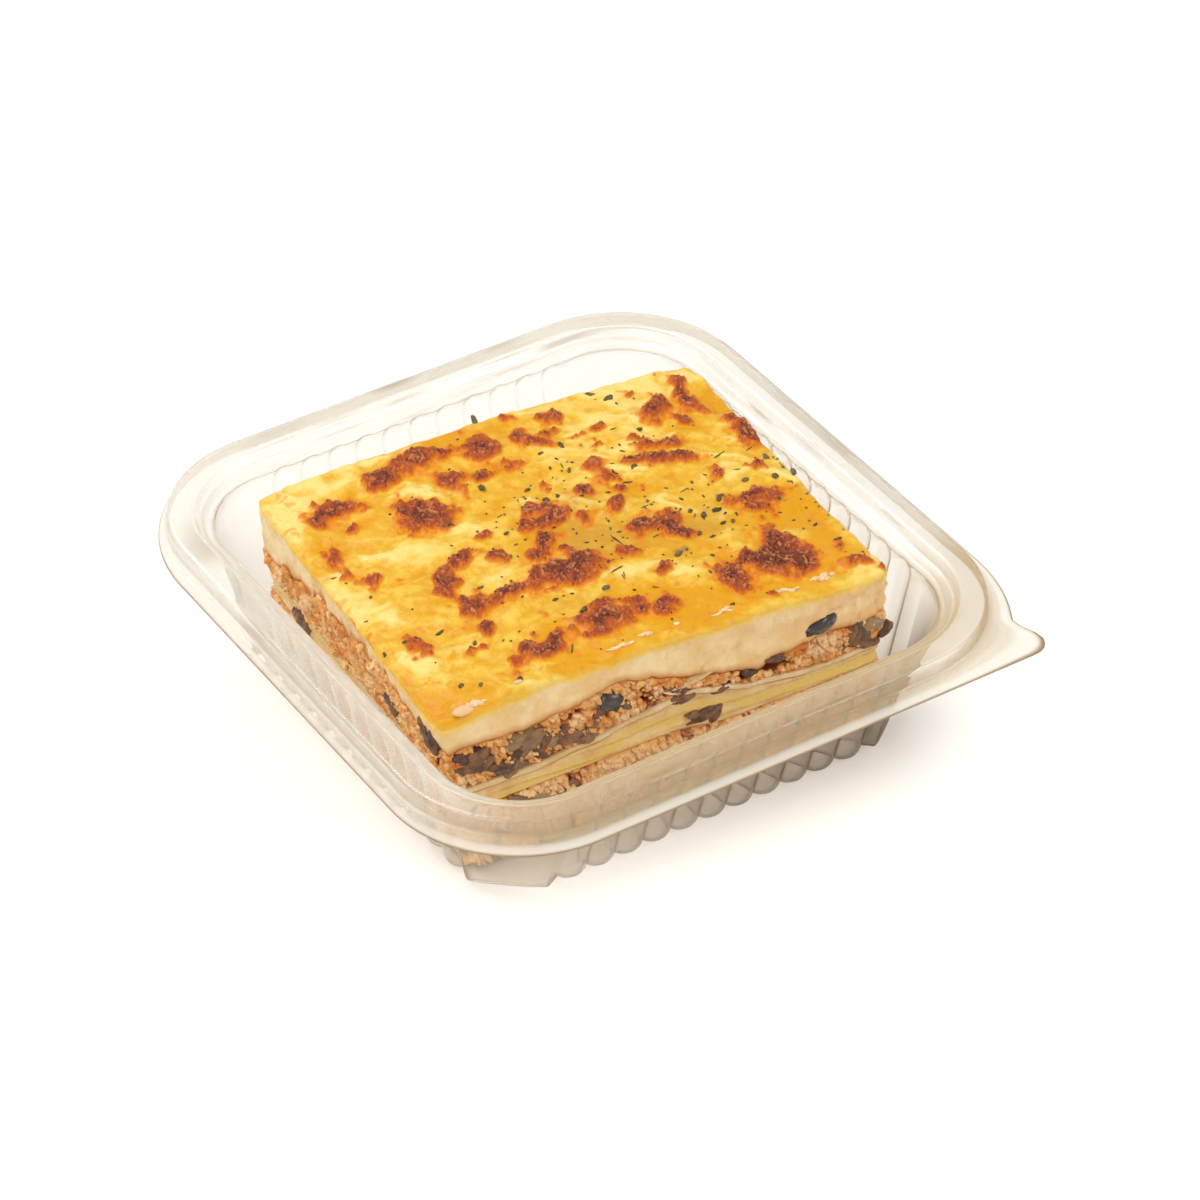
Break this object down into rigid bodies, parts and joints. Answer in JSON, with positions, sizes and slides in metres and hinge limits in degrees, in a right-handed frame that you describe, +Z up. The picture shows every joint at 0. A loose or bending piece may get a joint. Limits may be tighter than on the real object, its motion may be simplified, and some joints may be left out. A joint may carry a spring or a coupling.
{
  "type": "portion of baked meat lasagna in a clear tray",
  "caption": "Thick square-cut portion of baked meat lasagna with a browned top, lying in an open clear fluted tray with a lifting ear at one corner.",
  "frame": {"origin": "middle of the tray's flat underside", "axes": "+Z up, through the tray's mouth; -Y towards the lasagna's long cut face; +X towards the lasagna's right end, the ear at the corner between +X and -Y"},
  "size_m": [0.1608, 0.1691, 0.0443],
  "materials": {
    "clear_plastic": "clear, thin, glossy",
    "meat_filling": "moist, crumbly",
    "yellow_sauce": "moist",
    "pasta": "smooth, moist",
    "baked_bechamel": "soft sheen, browned in patches",
    "mushroom": "moist",
    "olive": "moist, glossy"
  },
  "bodies": {
    "root": {"tray": "clear_plastic", "lower_filling": "meat_filling", "lower_sauce": "yellow_sauce", "pasta_sheet": "pasta", "upper_filling": "meat_filling", "bechamel": "baked_bechamel", "mushroom_1": "mushroom", "mushroom_2": "mushroom", "mushroom_3": "mushroom", "mushroom_4": "mushroom", "mushroom_5": "mushroom", "mushroom_6": "mushroom", "mushroom_7": "mushroom", "mushroom_8": "mushroom", "mushroom_9": "mushroom", "mushroom_10": "mushroom", "mushroom_11": "mushroom", "olive_1": "olive", "olive_2": "olive"}
  },
  "joints": []
}
